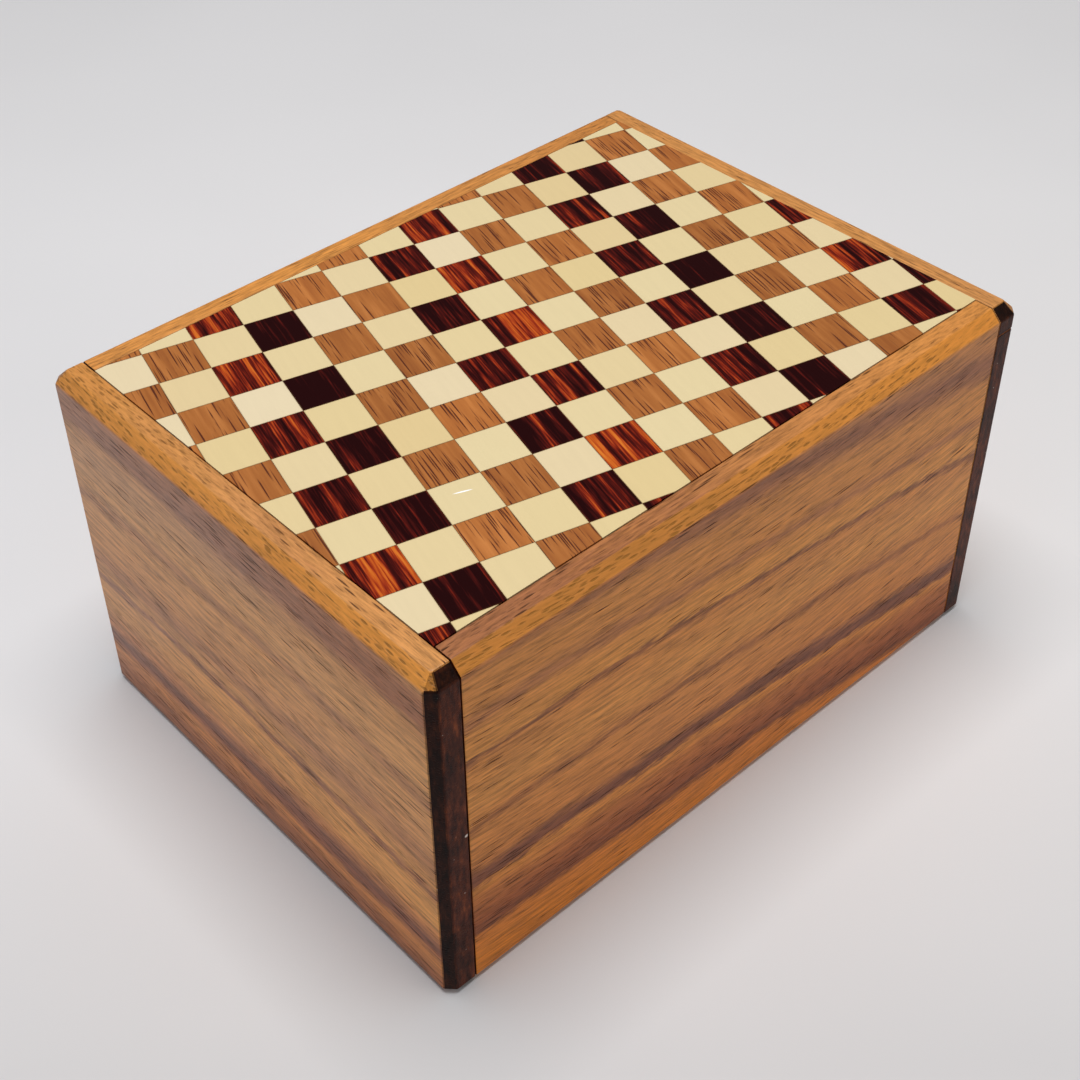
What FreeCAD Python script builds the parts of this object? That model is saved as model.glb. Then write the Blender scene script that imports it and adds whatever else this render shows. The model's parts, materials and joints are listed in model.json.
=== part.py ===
import FreeCAD, Part

import math
import os

import Sketcher
from FreeCAD import Placement, Rotation, Vector

# A small wooden puzzle box: an inner box inside four outer panels, with a checkered lid.
# Both end panels slide down a few millimetres on dovetail keys. The lid then slides lengthwise
# over the lowered right end panel. Millimetres, +Z up, the origin under the centre of the base.
# "End" means the short faces (left is -X, right is +X); "side" means the long ones (front is -Y).

doc = FreeCAD.newDocument("puzzle_box")

DIMENSIONS = {
    # the whole box
    "length": 121.0,
    "depth": 89.5,
    "height": 65.8,
    # outer panels
    "panel_thickness": 5.0,
    "top_bevel": 1.9,
    "corner_bevel": 1.5,
    "foot_bevel": 1.0,
    "slide_gap": 0.15,
    "panel_travel": 4.0,
    # inner box
    "end_wall_thickness": 4.5,
    "side_wall_thickness": 3.0,
    "bottom_thickness": 4.0,
    "bottom_tongue": 1.5,
    "liner_thickness": 0.8,
    # lid
    "lid_thickness": 4.5,
    "tile_thickness": 1.0,
    "runner_width": 5.0,
    "runner_height": 2.0,
    "runner_reach": 2.0,
    # dovetail keys of the end panels
    "key_neck": 6.0,
    "key_flare": 1.0,
    "key_depth": 2.6,
    "key_spacing": 44.0,
    "key_setback": 11.0,
    "key_gap": 0.2,
    # lock tongues under the lid
    "lock_width": 18.0,
    "lock_thickness": 2.5,
    "lock_rise": 1.4,
    "lock_root": 4.0,
    "lock_inset": 1.0,
    "lock_gap": 0.2,
    # checkered marquetry of the lid
    "tile_side": 8.25,
    "tile_angle": 14.9,
    "tile_start_x": 3.6,
    "tile_start_y": 7.4,
    "glue_line": 0.03,
}

sheet = doc.addObject("Spreadsheet::Sheet", "dims")
for row, (alias, number) in enumerate(DIMENSIONS.items(), start=1):
    sheet.set(f"A{row}", alias)
    sheet.set(f"B{row}", str(number))
    sheet.setAlias(f"B{row}", alias)
doc.recompute()

# Places that several pieces share, worked out on the sheet from the dimensions above.
SHARED = {
    "end_inner": "length / 2 - panel_thickness",
    "side_inner": "depth / 2 - panel_thickness",
    "case_end": "length / 2 - panel_thickness - slide_gap",
    "room_end": "length / 2 - panel_thickness - slide_gap - end_wall_thickness",
    "room_side": "depth / 2 - panel_thickness - side_wall_thickness",
    "lid_under": "height - lid_thickness",
    "wall_top": "height - lid_thickness - slide_gap",
    "lid_side": "depth / 2 - panel_thickness - slide_gap",
    "key_top": "height - lid_thickness - slide_gap - key_setback",
}
for row, (alias, formula) in enumerate(SHARED.items(), start=len(DIMENSIONS) + 2):
    sheet.set(f"A{row}", alias)
    sheet.set(f"B{row}", "=" + formula)
    sheet.setAlias(f"B{row}", alias)
doc.recompute()

ALIASES = sorted(list(DIMENSIONS) + list(SHARED), key=len, reverse=True)


def bound(formula):
    """The formula with every alias written as a cell of the sheet."""
    words = []
    for word in formula.replace("(", " ( ").replace(")", " ) ").split():
        sign = "-" if word.startswith("-") and len(word) > 1 else ""
        bare = word[len(sign):]
        words.append(sign + ("dims." + bare if bare in ALIASES else bare))
    return " ".join(words)


def amount(formula):
    """The formula's value in millimetres."""
    return float(sheet.evalExpression(bound(formula)))


def new_body(label, low_z="0"):
    """An empty body whose base plane lies at the height low_z."""
    body = doc.addObject("PartDesign::Body", label)
    body.Label = label
    body.setExpression("Placement.Base.z", bound(low_z))
    return body


def outline(body, points):
    """A closed outline on the body's base plane; each corner is a pair of formulas."""
    plane = next(f for f in body.Origin.OriginFeatures if f.Role == "XY_Plane")
    sketch = body.newObject("Sketcher::SketchObject", body.Label + "_outline")
    sketch.AttachmentSupport = [(plane, "")]
    sketch.MapMode = "FlatFace"
    places = [Vector(amount(x), amount(y), 0) for x, y in points]
    for start, end in zip(places, places[1:] + places[:1]):
        sketch.addGeometry(Part.LineSegment(start, end), False)
    for line in range(len(points)):
        sketch.addConstraint(
            Sketcher.Constraint("Coincident", line, 2, (line + 1) % len(points), 1)
        )
    for line, (corner, place) in enumerate(zip(points, places)):
        for kind, formula, value in zip(("DistanceX", "DistanceY"), corner, place):
            number = sketch.addConstraint(
                Sketcher.Constraint(kind, -1, 1, line, 1, value)
            )
            name = f"{kind}_{line}"
            sketch.renameConstraint(number, name)
            sketch.setExpression("Constraints." + name, bound(formula))
    return sketch


def rectangle(low_x, high_x, low_y, high_y):
    return [(low_x, low_y), (high_x, low_y), (high_x, high_y), (low_x, high_y)]


def pad(body, points, thickness):
    """Raises an outline to a board of the given thickness."""
    sketch = outline(body, points)
    feature = body.newObject("PartDesign::Pad", body.Label + "_board")
    feature.Profile = sketch
    feature.setExpression("Length", bound(thickness))
    doc.recompute()
    return feature


def pocket(body, points, cut_height):
    """Cuts an outline upwards from the body's base plane, and checks that it cut."""
    before = body.Shape.Volume
    sketch = outline(body, points)
    feature = body.newObject("PartDesign::Pocket", body.Label + "_slot")
    feature.Profile = sketch
    feature.Reversed = True
    feature.setExpression("Length", bound(cut_height))
    doc.recompute()
    if body.Shape.Volume >= before:
        raise RuntimeError(body.Label + ": the pocket cut nothing")
    return feature


def block(body, kind, low, high):
    """Adds or cuts a box between two corners, each a triple of formulas in the body's frame."""
    feature = body.newObject("PartDesign::" + kind + "Box", body.Label + "_" + kind.lower())
    for size, place, start, end in zip(("Length", "Width", "Height"), "xyz", low, high):
        feature.setExpression(size, bound(f"( {end} ) - ( {start} )"))
        feature.setExpression("Placement.Base." + place, bound(start))
    doc.recompute()
    return feature


def bevel(body, size, wanted):
    """Chamfers the edges of the body's last feature for which wanted(middle) is true."""
    base = body.Tip
    names = []
    for number, edge in enumerate(base.Shape.Edges, start=1):
        if wanted(edge.BoundBox.Center, edge.BoundBox):
            names.append(f"Edge{number}")
    if not names:
        raise RuntimeError(body.Label + ": no edge to bevel")
    feature = body.newObject("PartDesign::Chamfer", body.Label + "_bevel")
    feature.Base = (base, names)
    feature.setExpression("Size", bound(size))
    doc.recompute()
    return feature


def board(label, low, high):
    """A plain board between two corners, each a triple of formulas."""
    body = new_body(label, low[2])
    pad(body, rectangle(low[0], high[0], low[1], high[1]), f"( {high[2]} ) - ( {low[2]} )")
    return body


NEAR = 0.01  # how close two places are taken to be the same, in millimetres


# Outer side panels: grooved along the top for the lid's runners and along the foot for the
# bottom board's tongues, with bevelled outer edges.
def side_panel(label, side):
    inner = f"{side}side_inner"
    outer = f"{side}( depth / 2 )" if side else "depth / 2"
    low_y, high_y = (outer, inner) if side else (inner, outer)
    body = board(label, ("-case_end", low_y, "0"), ("case_end", high_y, "height"))
    outer_y = amount(outer)
    top = amount("height")

    def runs_along(box):
        return box.XLength > box.ZLength and box.XLength > box.YLength

    bevel(
        body,
        "top_bevel",
        lambda c, b: runs_along(b) and abs(c.y - outer_y) < NEAR and abs(c.z - top) < NEAR,
    )
    bevel(
        body,
        "foot_bevel",
        lambda c, b: runs_along(b) and abs(c.y - outer_y) < NEAR and abs(c.z) < NEAR,
    )
    lid_groove = "( side_inner + runner_reach + slide_gap )"
    foot_groove = "( side_inner + bottom_tongue )"
    for deep, low_z, high_z in (
        (lid_groove, "lid_under - slide_gap", "lid_under + runner_height + slide_gap"),
        (foot_groove, "bottom_tongue", "bottom_tongue * 2"),
    ):
        edges = (f"-1 * {deep}", "-side_inner") if side else ("side_inner", deep)
        block(
            body,
            "Subtractive",
            ("-case_end", edges[0], low_z),
            ("case_end", edges[1], high_z),
        )
    return body


side_panel("front_side_panel", "-")
side_panel("rear_side_panel", "")


# Outer end boards: they run the full depth, so their end grain shows at the box's corners.
def end_board(label, side, low_z, high_z):
    outer, inner = f"{side}1 * length / 2", f"{side}1 * end_inner"
    eased = f"{side}1 * ( length / 2 - corner_bevel )"
    corner, front = "( depth / 2 - corner_bevel )", "( depth / 2 )"
    points = [
        (inner, f"-1 * {front}"),
        (eased, f"-1 * {front}"),
        (outer, f"-1 * {corner}"),
        (outer, corner),
        (eased, front),
        (inner, front),
    ]
    body = new_body(label, low_z)
    pad(body, points, f"( {high_z} ) - ( {low_z} )")
    return body


def bevel_rim(body, size, rim_z, inner_x):
    """Bevels the rim at one height of an end board, all but the edge against the box."""
    bevel(
        body,
        size,
        lambda c, b: b.ZLength < NEAR and abs(c.z - rim_z) < NEAR and abs(c.x - inner_x) > NEAR,
    )


inner_x = amount("end_inner")
left_end = end_board("left_end_panel", "-", "0", "height")
bevel_rim(left_end, "top_bevel", amount("height"), -inner_x)
bevel_rim(left_end, "foot_bevel", 0.0, -inner_x)
right_end = end_board("right_end_panel", "+", "0", "wall_top")
bevel_rim(right_end, "foot_bevel", 0.0, inner_x)
lid_cap = end_board("lid_end_cap", "+", "lid_under", "height")
bevel_rim(lid_cap, "top_bevel", amount("lid_thickness"), inner_x)

# Lock tongues: each is let into its end panel and stands up into the groove under the lid. The
# left one also reaches inwards over the inner wall, under the tail of the lid.
LOCK_TOP = "lid_under + lock_rise"
LOCK_LOW = "wall_top - lock_root"
HALF_LOCK = "( lock_width / 2 )"
left_lock = (
    ("-1 * ( end_inner + lock_inset )", f"-1 * {HALF_LOCK}", LOCK_LOW),
    ("-1 * ( end_inner - lock_thickness )", HALF_LOCK, LOCK_TOP),
)
right_lock = (
    ("end_inner + lock_inset", f"-1 * {HALF_LOCK}", LOCK_LOW),
    ("end_inner + lock_inset + lock_thickness", HALF_LOCK, LOCK_TOP),
)
for panel, name, (low, high) in (
    (left_end, "left_lock_tongue", left_lock),
    (right_end, "right_lock_tongue", right_lock),
):
    block(panel, "Subtractive", low, high)
    board(name, low, high)

# The lid's cap keeps a pocket over the right tongue, open towards the lid board.
SLOT = "( lock_width / 2 + lock_gap )"
SLOT_HEIGHT = "lock_rise + lock_gap"
block(
    lid_cap,
    "Subtractive",
    ("end_inner", f"-1 * {SLOT}", "0"),
    ("end_inner + lock_inset + lock_thickness + lock_gap", SLOT, SLOT_HEIGHT),
)


# Dovetail keys: glued to the end panels, they run in slots of the end walls and stop on the
# bottom board when the panel is down.
def dovetail(side, middle, gap):
    """The outline of a key, or of its slot with a gap all round, flaring away from the panel."""
    face = f"{side}1 * end_inner"
    deep = f"{side}1 * ( end_inner - slide_gap - key_depth - {gap} )"
    neck = f"( key_neck / 2 + {gap} )"
    flare = f"( key_neck / 2 + key_flare + {gap} )"
    return [
        (face, f"{middle} - {neck}"),
        (face, f"{middle} + {neck}"),
        (deep, f"{middle} + {flare}"),
        (deep, f"{middle} - {flare}"),
    ]


KEY_PLACES = {"front": "-1 * key_spacing / 2", "rear": "key_spacing / 2"}
KEY_LOW = "bottom_thickness + panel_travel + slide_gap"

for end, side in (("left", "-"), ("right", "+")):
    for place, middle in KEY_PLACES.items():
        key = new_body(f"{end}_{place}_key", KEY_LOW)
        pad(key, dovetail(side, middle, "0"), f"key_top - ( {KEY_LOW} )")

# Inner box: two slotted end walls with the two side walls between them.
for end, side in (("left", "-"), ("right", "+")):
    near, far = f"{side}1 * room_end", f"{side}1 * case_end"
    low_x, high_x = (far, near) if side == "-" else (near, far)
    wall = board(
        f"{end}_inner_wall",
        (low_x, "-side_inner", "bottom_thickness"),
        (high_x, "side_inner", "wall_top"),
    )
    for middle in KEY_PLACES.values():
        pocket(wall, dovetail(side, middle, "key_gap"), "key_top + key_gap - bottom_thickness")
    if end == "left":
        # room for the left lock tongue to come down with its panel
        notch_low = f"( {LOCK_LOW} ) - panel_travel - lock_gap - bottom_thickness"
        block(
            wall,
            "Subtractive",
            ("-case_end", f"-1 * {SLOT}", notch_low),
            (
                "-1 * ( end_inner - lock_thickness - lock_gap )",
                SLOT,
                "wall_top - bottom_thickness",
            ),
        )

board(
    "front_inner_wall",
    ("-room_end", "-side_inner", "bottom_thickness"),
    ("room_end", "-room_side", "wall_top"),
)
board(
    "rear_inner_wall",
    ("-room_end", "room_side", "bottom_thickness"),
    ("room_end", "side_inner", "wall_top"),
)

# Bottom board with a tongue along each side, and the thin liner on it.
bottom = board(
    "bottom_board",
    ("-case_end", "-side_inner", "0"),
    ("case_end", "side_inner", "bottom_thickness"),
)
for low_y, high_y in (
    ("-1 * ( side_inner + bottom_tongue )", "-side_inner"),
    ("side_inner", "side_inner + bottom_tongue"),
):
    block(
        bottom,
        "Additive",
        ("-case_end", low_y, "bottom_tongue"),
        ("case_end", high_y, "bottom_tongue * 2"),
    )
board(
    "floor_liner",
    ("-room_end", "-room_side", "bottom_thickness"),
    ("room_end", "room_side", "bottom_thickness + liner_thickness"),
)

# Lid: a board with a rebate for a runner along each side and the lock groove underneath.
lid = board(
    "lid_board",
    ("-case_end", "-lid_side", "lid_under"),
    ("end_inner", "lid_side", "height - tile_thickness"),
)
RUNNER_INNER = "( side_inner + runner_reach - runner_width )"
RUNNER_OUTER = "( side_inner + runner_reach )"
for name, low_y, high_y in (
    ("front_lid_runner", f"-1 * {RUNNER_OUTER}", f"-1 * {RUNNER_INNER}"),
    ("rear_lid_runner", RUNNER_INNER, RUNNER_OUTER),
):
    block(
        lid,
        "Subtractive",
        ("-case_end", low_y, "0"),
        ("end_inner", high_y, "runner_height"),
    )
    board(
        name,
        ("-case_end", low_y, "lid_under"),
        ("end_inner", high_y, "lid_under + runner_height"),
    )
block(
    lid,
    "Subtractive",
    ("-case_end", f"-1 * {SLOT}", "0"),
    ("end_inner", SLOT, SLOT_HEIGHT),
)


# Marquetry: square tiles on a turned grid, trimmed to the lid. Light wood takes every other
# square. Along each grid column the dark squares come from one strip, and the strips follow
# each other two of walnut, two of rosewood.
def tile_wood(column, row):
    if (column + row) % 2 == 0:
        return "light"
    return "walnut" if column % 4 < 2 else "rosewood"


def marquetry():
    """The trimmed tiles of each wood."""
    side = amount("tile_side")
    cut_side = side - amount("glue_line")
    thickness = amount("tile_thickness")
    low_x, high_x = -amount("case_end"), amount("end_inner")
    half_y = amount("lid_side")
    top = amount("height")
    turn = Rotation(Vector(0, 0, 1), -amount("tile_angle"))
    along, down = turn.multVec(Vector(side, 0, 0)), turn.multVec(Vector(0, -side, 0))
    start = Vector(amount("tile_start_x"), amount("tile_start_y"), 0)
    field = Part.makeBox(
        high_x - low_x, 2 * half_y, thickness, Vector(low_x, -half_y, top - thickness)
    )
    reach = math.ceil(math.hypot(high_x - low_x, 2 * half_y) / side)
    tiles = {"light": [], "walnut": [], "rosewood": []}
    for column in range(-reach, reach):
        for row in range(-reach, reach):
            middle = start + along * (column + 0.5) + down * (row + 0.5)
            if abs(middle.x) > high_x + side or abs(middle.y) > half_y + side:
                continue
            tile = Part.makeBox(
                cut_side, cut_side, thickness, Vector(-cut_side / 2, -cut_side / 2, 0)
            )
            tile.Placement = Placement(middle + Vector(0, 0, top - thickness), turn)
            for solid in tile.common(field).Solids:
                tiles[tile_wood(column, row)].append(solid)
    return tiles


for wood, solids in marquetry().items():
    feature = doc.addObject("Part::Feature", f"marquetry_{wood}_tiles")
    feature.Label = f"marquetry_{wood}_tiles"
    feature.Shape = Part.makeCompound(solids)
    smallest = min(solid.Volume for solid in solids)
    print(f"{feature.Label}: {len(solids)} tiles, the smallest {smallest:.3f} mm3")

doc.recompute()

# Every object has to be sound before anything is written.
for item in doc.Objects:
    if "Invalid" in item.State or "Error" in item.State:
        raise RuntimeError(f"{item.Label}: {item.State}")

os.makedirs("parts", exist_ok=True)
pieces = [o for o in doc.Objects if o.TypeId in ("PartDesign::Body", "Part::Feature")]
for piece in pieces:
    shape = piece.Shape
    if shape.isNull() or not shape.isValid() or not shape.Solids:
        raise RuntimeError(f"{piece.Label}: not a sound solid")
    shape.exportStep(f"parts/{piece.Label}.step")
    box = shape.BoundBox
    print(f"{piece.Label}: {len(shape.Solids)} solid(s), {shape.Volume:.1f} mm3,"
          f" {box.XLength:.2f} x {box.YLength:.2f} x {box.ZLength:.2f}")
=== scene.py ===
# %% [markdown]
# # A small wooden puzzle box
# The box is five thin walnut boards round an inner box of pale wood, closed by a sliding lid whose
# top is a checkered marquetry. The structure comes from a CAD model that fixes every size. This
# notebook gives it its woods, its marquetry, its eased edges, a studio and a camera.

# %% Load the fixed model and keep its outer box
import json
import math
from types import SimpleNamespace

import bmesh
import bpy
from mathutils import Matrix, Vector


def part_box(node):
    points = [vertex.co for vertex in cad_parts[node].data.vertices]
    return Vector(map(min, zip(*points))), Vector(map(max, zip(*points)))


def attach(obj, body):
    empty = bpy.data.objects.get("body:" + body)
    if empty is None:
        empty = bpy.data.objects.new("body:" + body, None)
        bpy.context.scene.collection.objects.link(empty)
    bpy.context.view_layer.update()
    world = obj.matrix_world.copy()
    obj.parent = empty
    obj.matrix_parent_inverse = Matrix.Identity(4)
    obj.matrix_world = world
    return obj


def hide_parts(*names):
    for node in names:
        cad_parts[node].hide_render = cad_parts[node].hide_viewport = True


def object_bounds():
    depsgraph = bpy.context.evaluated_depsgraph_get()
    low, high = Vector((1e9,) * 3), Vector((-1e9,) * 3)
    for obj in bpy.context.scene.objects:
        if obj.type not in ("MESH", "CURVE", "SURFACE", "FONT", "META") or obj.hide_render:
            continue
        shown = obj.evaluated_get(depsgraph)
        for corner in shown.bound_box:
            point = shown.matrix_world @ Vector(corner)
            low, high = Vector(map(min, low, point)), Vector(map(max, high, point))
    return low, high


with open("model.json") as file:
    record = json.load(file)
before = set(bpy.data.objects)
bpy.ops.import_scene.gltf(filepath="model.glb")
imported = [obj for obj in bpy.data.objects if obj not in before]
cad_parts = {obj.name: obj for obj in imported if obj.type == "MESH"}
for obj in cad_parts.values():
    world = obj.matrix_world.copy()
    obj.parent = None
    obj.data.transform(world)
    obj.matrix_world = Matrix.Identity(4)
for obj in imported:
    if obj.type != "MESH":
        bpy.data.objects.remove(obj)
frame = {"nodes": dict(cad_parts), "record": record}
cad_box = [list(corner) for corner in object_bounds()]
MM = 0.001

low, high = (Vector(corner) for corner in cad_box)
length, depth, height = high - low
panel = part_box("left_end_panel")[1].x - low.x
print("box", [round(v / MM, 1) for v in (length, depth, height)], "panel", round(panel / MM, 2))

# %% [markdown]
# ## Two helpers for every material
# Wood colours are written as sRGB hex values, but shaders work in linear light, so one
# function converts them. A second small function adds any node with its settings, its links and, for a
# colour ramp, its stops. That keeps each material readable as a list of steps, from coordinates to
# colour.

# %% Colour and node helpers
def linear(hex_colour):
    """An sRGB hex colour as linear RGBA."""
    parts = [int(hex_colour[i:i + 2], 16) / 255 for i in (1, 3, 5)]
    return [c / 12.92 if c <= 0.04045 else ((c + 0.055) / 1.055) ** 2.4 for c in parts] + [1.0]


def add(tree, kind, inputs=(), stops=(), **settings):
    """Adds a node with its settings and links.

    Inputs are a list in socket order, or a dict by number or name. Each is a plain value, a
    socket, or a node whose first output is used. Stops are a colour ramp's (place, hex colour or
    grey value) pairs.
    """
    node = tree.nodes.new(kind)
    for name, value in settings.items():
        setattr(node, name, value)
    for name, value in inputs.items() if isinstance(inputs, dict) else enumerate(inputs):
        if isinstance(name, int):
            socket = node.inputs[name]
        else:
            socket = next(s for s in node.inputs if s.name == name and s.enabled)
        if isinstance(value, bpy.types.Node):
            value = next(out for out in value.outputs if out.enabled)
        if isinstance(value, bpy.types.NodeSocket):
            tree.links.new(value, socket)
        else:
            socket.default_value = value
    for _ in stops[2:]:
        node.color_ramp.elements.new(0.5)
    for number, (place, colour) in enumerate(stops):
        element = node.color_ramp.elements[number]
        element.position = place
        element.color = linear(colour) if isinstance(colour, str) else (colour,) * 3 + (1,)
    return node


# %% [markdown]
# ## Walnut, planed and lacquered
# A walnut board shows three things: growth layers that run nearly along it, short dark pores, and
# a fine fibre. All three are solid textures here, computed in millimetres from the object's own
# coordinates, so a bevel or an end cut shows the same layers as the face beside it. First every
# point gets its place on its board: how far along, how far from the left end, how far below the top.

# %% Where a point lies on its board
def in_millimetres(tree, across):
    """The object's own places, and the same in millimetres with X turned along the board."""
    place = add(tree, "ShaderNodeTexCoord")
    turn = -math.pi / 2 if across else 0.0
    local = add(
        tree,
        "ShaderNodeMapping",
        {0: place.outputs["Object"], "Scale": (1000, 1000, 1000), "Rotation": (0, 0, turn)},
    )
    return place, local


def set_out(tree, across, seed):
    """The places on one board, kept together. across=True turns its grain from X to Y."""
    place, local = in_millimetres(tree, across)
    axes = add(tree, "ShaderNodeSeparateXYZ", [local])
    along, through, up = axes.outputs
    half = (depth if across else length) / MM / 2
    from_end = add(tree, "ShaderNodeMath", [along, half], operation="ADD")
    return SimpleNamespace(
        tree=tree,
        across=across,
        seed=seed,
        place=place.outputs["Object"],
        facing=add(tree, "ShaderNodeSeparateXYZ", [place.outputs["Normal"]]).outputs,
        local=local,
        along=along,
        through=through,
        up=up,
        half=half,
        from_end=from_end,
        share=add(tree, "ShaderNodeMath", [from_end, half * 2], operation="DIVIDE"),
        drop=add(tree, "ShaderNodeMath", [height / MM, up], operation="SUBTRACT"),
    )


def cloud(board, space, scale, detail=3.0, rough=0.55, shift=0.0):
    """Soft noise with its own scale, per millimetre, along, through and up the board."""
    corner = (board.seed + shift, board.seed * 0.7, shift)
    spot = add(board.tree, "ShaderNodeMapping", {0: space, "Scale": scale, "Location": corner})
    return add(
        board.tree,
        "ShaderNodeTexNoise",
        {"Vector": spot, "Scale": 1.0, "Detail": detail, "Roughness": rough},
    )


# %% [markdown]
# ### Growth layers
# The layers of each board are one list of depths below the top edge, because a real board has its
# own sequence and a regular wave never looks like it. The list becomes a colour ramp, read by a
# depth that tilts and bows along the board and is shaken by three sizes of noise.

# %% Layers, their waviness and a painted reflection
RING_LOW, RING_SPAN = -12.0, 84.0  # millimetres of growth layers that a list may cover
WAVES = [  # scale, detail, roughness, shift and swing in millimetres
    ((0.022, 0.05, 0.09), 2.0, 0.55, 0.0, 5.0),  # the whole board wanders
    ((0.16, 0.9, 0.9), 3.0, 0.6, 4.0, 1.6),  # a layer ripples
    ((0.3, 2.2, 2.2), 3.0, 0.65, 6.0, 3.4),  # its edge feathers
]


def growth_layers(board, rings, slope, arch):
    """The colour of the layer that a point lies in."""
    tree = board.tree
    toward_end = add(tree, "ShaderNodeMath", [board.along, board.half], operation="DIVIDE")
    squared = add(tree, "ShaderNodeMath", [toward_end, 2.0], operation="POWER")
    bow = add(tree, "ShaderNodeMath", [squared, -arch], operation="MULTIPLY")
    tilt = add(tree, "ShaderNodeMath", [board.from_end, slope], operation="MULTIPLY")
    layer = add(tree, "ShaderNodeMath", [board.drop, tilt], operation="SUBTRACT")
    layer = add(tree, "ShaderNodeMath", [layer, bow], operation="ADD")
    for scale, detail, rough, shift, swing in WAVES:
        wave = cloud(board, board.local, scale, detail, rough, shift)
        wave = add(tree, "ShaderNodeMath", [wave, swing, -swing / 2], operation="MULTIPLY_ADD")
        layer = add(tree, "ShaderNodeMath", [layer, wave], operation="ADD")
    below = add(tree, "ShaderNodeMath", [layer, RING_LOW], operation="SUBTRACT")
    ring_place = add(tree, "ShaderNodeMath", [below, RING_SPAN], operation="DIVIDE")
    stops = [((depth_mm - RING_LOW) / RING_SPAN, colour) for depth_mm, colour in rings]
    return add(tree, "ShaderNodeValToRGB", [ring_place], stops=stops)


def painted_reflection(board, colour, reflection_colour, amount, left_share):
    """Broad patches of painted reflection, weaker down the board and, by left_share, at its left end.
    """
    tree = board.tree
    # painted reflection of the pale surroundings in the lacquer: a paler, cooler tone, strongest near
    # the top
    patch = cloud(board, board.local, (0.02, 0.05, 0.05), 2.0, 0.5, 9.0)
    patch = add(tree, "ShaderNodeValToRGB", [patch], stops=[(0.35, 0.4), (0.7, 1.0)])
    veil = add(
        tree,
        "ShaderNodeMath",
        [board.share, 1.0 - left_share, left_share],
        operation="MULTIPLY_ADD",
    )
    down = add(tree, "ShaderNodeMath", [board.drop, height / MM], operation="DIVIDE")
    down = add(tree, "ShaderNodeValToRGB", [down], stops=[(0.0, 1.0), (1.0, 0.35)])
    veil = add(tree, "ShaderNodeMath", [veil, down], operation="MULTIPLY")
    veil = add(tree, "ShaderNodeMath", [patch, veil], operation="MULTIPLY")
    veil = add(tree, "ShaderNodeMath", [veil, amount], operation="MULTIPLY")
    return add(tree, "ShaderNodeMix", {0: veil, 6: colour, 7: linear(reflection_colour)}, data_type="RGBA")


# %% [markdown]
# ### Fibre and pores
# The fibre crosses the layers at a small angle that changes along the board, so it has a space of
# its own. Streaks and pores are noise and cells stretched in that space. Pores are dashes of a few
# millimetres, gathered in the dark late wood, and they gape where a bevel cuts them.

# %% Streaks and pores
def fibre_space(board, sweep, tilt):
    """Millimetres along, through and up the board, with the fibre's lean taken out."""
    tree = board.tree
    lean = add(tree, "ShaderNodeMath", [board.along, sweep, tilt], operation="MULTIPLY_ADD")
    lean = add(tree, "ShaderNodeMath", [board.along, lean], operation="MULTIPLY")
    level = add(tree, "ShaderNodeMath", [board.up, lean], operation="SUBTRACT")
    return add(tree, "ShaderNodeCombineXYZ", [board.along, board.through, level])


def pores(board, lying, late_wood, scale, size, shift, crowding):
    """Dashes of one kind: cells at a scale per millimetre, kept where the crowding allows."""
    tree = board.tree
    spot = add(
        tree,
        "ShaderNodeMapping",
        {0: lying, "Scale": scale, "Location": (board.seed, shift, 0)},
    )
    cells = add(tree, "ShaderNodeTexVoronoi", {"Vector": spot, "Scale": 1.0})
    dash = add(
        tree,
        "ShaderNodeValToRGB",
        [cells.outputs["Distance"]],
        stops=[(size * 0.55, 1.0), (size, 0.0)],
    )
    crowd = cloud(board, board.local, (0.03, 0.2, 0.25), 3.0, 0.6, shift)
    crowd = add(tree, "ShaderNodeMath", [crowd, late_wood], operation="ADD")
    none, full = crowding
    crowd = add(tree, "ShaderNodeValToRGB", [crowd], stops=[(none, 0.0), (full, 1.0)])
    return add(tree, "ShaderNodeMath", [dash, crowd], operation="MULTIPLY")


def all_pores(board, lying, colour, bevel, open_pored):
    """Fine, coarse and gaping pores together: 1 inside the deepest ones."""
    tree = board.tree
    value = add(tree, "ShaderNodeRGBToBW", [colour])
    late_wood = add(tree, "ShaderNodeValToRGB", [value], stops=[(0.12, 0.2), (0.26, 0.0)])
    late_wood = add(tree, "ShaderNodeMath", [late_wood, open_pored], operation="ADD")
    late_wood = add(tree, "ShaderNodeMath", [bevel, 0.15, late_wood], operation="MULTIPLY_ADD")
    fine = pores(board, lying, late_wood, (0.26, 2.6, 3.2), 0.34, 3.0, (0.48, 0.66))
    coarse = pores(board, lying, late_wood, (0.11, 1.6, 2.1), 0.27, 7.0, (0.54, 0.63))
    gaping = pores(board, lying, late_wood, (0.35, 1.8, 1.8), 0.36, 15.0, (0.6, 0.68))
    fine = add(tree, "ShaderNodeMath", [fine, 0.5], operation="MULTIPLY")
    coarse = add(tree, "ShaderNodeMath", [coarse, 0.95], operation="MULTIPLY")
    gaping = add(tree, "ShaderNodeMath", [gaping, bevel], operation="MULTIPLY")
    pore = add(tree, "ShaderNodeMath", [fine, coarse], operation="MAXIMUM")
    return add(tree, "ShaderNodeMath", [pore, gaping], operation="MAXIMUM")


# %% [markdown]
# ### Bevels and end grain
# The bevels round the top get a painted highlight, a golden tint that stands in for the light
# they catch. End grain drinks more finish, so it is the darkest part of the box, and its corner
# bevels get painted shade as well. Both are found from the way a face looks: upwards at a slant
# for a bevel, and along the board for an end cut.

# %% Painted highlight on the bevels, dark end grain with painted shade
BEVEL_DEPTH = 2.2  # millimetres below the top that the painted highlight may reach


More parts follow.
